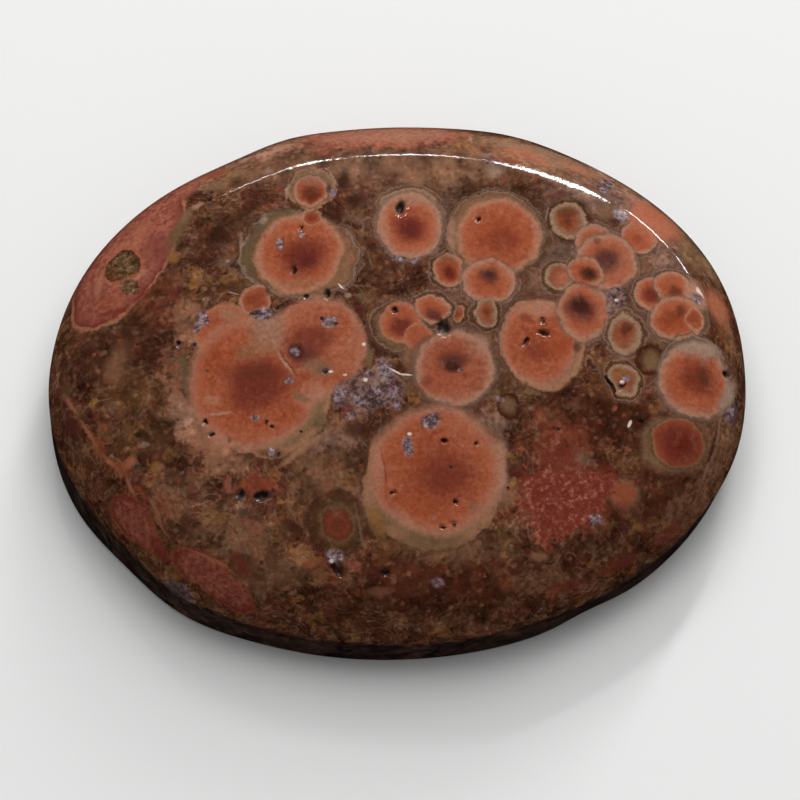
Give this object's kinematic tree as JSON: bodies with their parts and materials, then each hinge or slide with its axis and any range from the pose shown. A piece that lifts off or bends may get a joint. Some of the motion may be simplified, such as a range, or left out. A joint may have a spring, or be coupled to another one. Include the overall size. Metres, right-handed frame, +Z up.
{
  "type": "poppy jasper cabochon",
  "caption": "Oval hand-cut jasper cabochon with a low polished dome, a rounded shoulder, a short wall and a flat back, for a bezel setting or for display.",
  "frame": {"origin": "middle of the flat back, at the centre of the stone's box", "axes": "+X along the oval's long axis, +Y along its short axis, +Z up through the dome"},
  "size_m": [0.04, 0.0314, 0.0079],
  "materials": {
    "polished_jasper": "polished opaque jasper with orange, red and olive orbs in a mottled brown ground, lightly ground wall and back"
  },
  "bodies": {
    "root": {"jasper_cabochon": "polished_jasper"}
  },
  "joints": []
}
